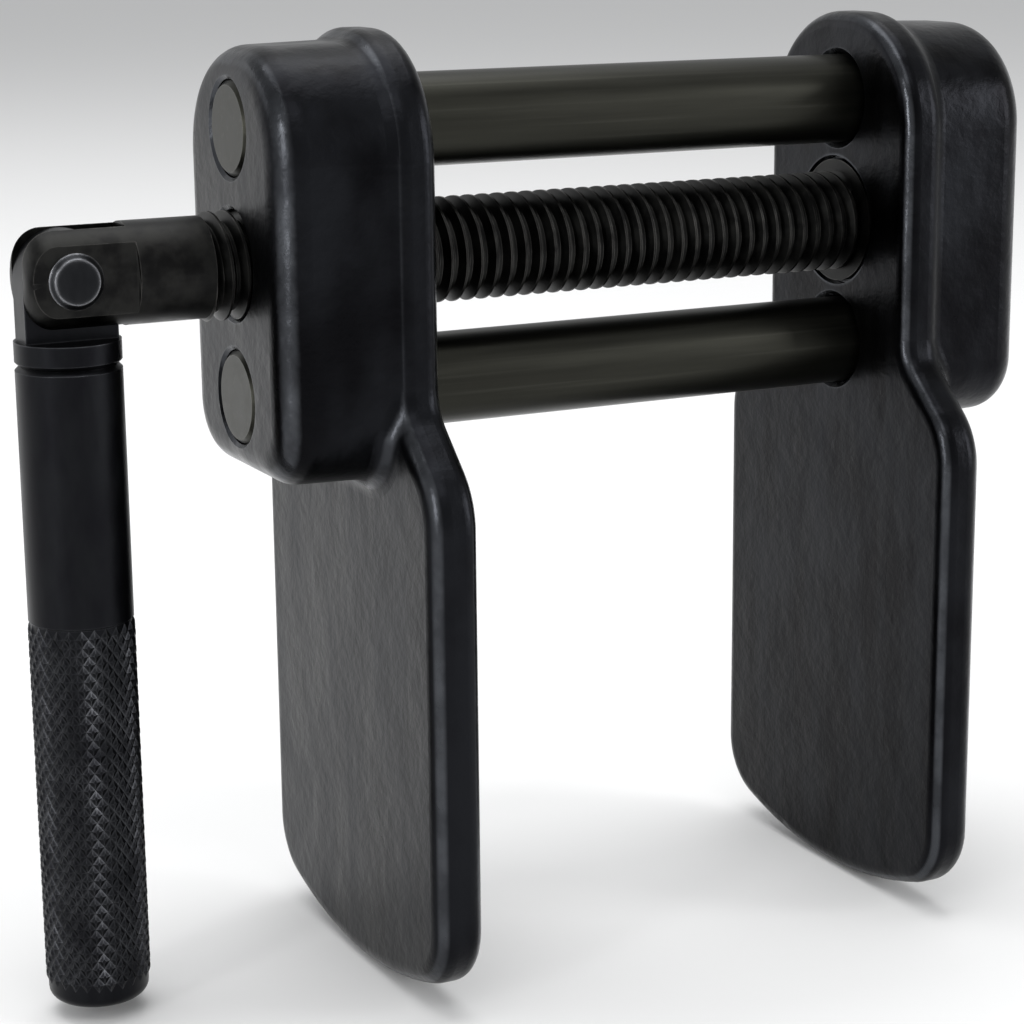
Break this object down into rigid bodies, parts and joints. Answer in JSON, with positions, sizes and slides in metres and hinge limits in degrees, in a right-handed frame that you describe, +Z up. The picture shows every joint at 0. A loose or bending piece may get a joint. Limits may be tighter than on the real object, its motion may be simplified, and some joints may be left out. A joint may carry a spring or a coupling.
{
  "type": "disc brake pad spreader",
  "caption": "Screw-driven disc brake pad spreader: two forged jaws on guide rods, opened by a lead screw with a fold-down handle.",
  "frame": {"origin": "under the middle of the whole tool at rest, on its mid plane, level with the bottom of the blades, its lowest point", "axes": "+X along the screw from the handle to the far jaw, +Y across the jaws, +Z up, away from the blades"},
  "size_m": [0.128, 0.051, 0.1141],
  "materials": {
    "forged_steel": "black oxide over a drop forging, semi-gloss",
    "guide_rod_steel": "ground round bar, black oxide, satin",
    "screw_steel": "rolled thread, black oxide, oiled",
    "hardened_washer": "hardened, black oxide",
    "spring_clip": "stamped spring steel, phosphated",
    "handle_steel": "turned and knurled bar, black oxide, satin",
    "pin_steel": "drawn pin, black oxide, worn at the rim"
  },
  "bodies": {
    "frame": {"far_jaw": "forged_steel", "upper_guide_rod": "guide_rod_steel", "lower_guide_rod": "guide_rod_steel", "thrust_washer": "hardened_washer", "retaining_washer": "hardened_washer"},
    "sliding_jaw": {"near_jaw": "forged_steel"},
    "screw": {"lead_screw": "screw_steel", "retaining_clip": "spring_clip", "pivot_pin": "pin_steel"},
    "handle": {"handle_head": "handle_steel", "handle_grip": "handle_steel"}
  },
  "joints": [
    {"name": "jaw_slide", "type": "slide", "parent": "frame", "child": "sliding_jaw", "axis": [1, 0, 0], "range_m": [-0.00391, 0.06252]},
    {"name": "screw_turn", "type": "hinge", "parent": "frame", "child": "screw", "pos_m": [0.04478, 0, 0.0877], "axis": [1, 0, 0], "range_deg": [-11521, 721]},
    {"name": "handle_fold", "type": "hinge", "parent": "screw", "child": "handle", "pos_m": [-0.05783, 0, 0.0877], "axis": [0, 1, 0], "range_deg": [0, 180]}
  ],
  "couplings": [
    {"joint": "screw_turn", "follows": "jaw_slide", "rad_per_m": -3215.8}
  ]
}
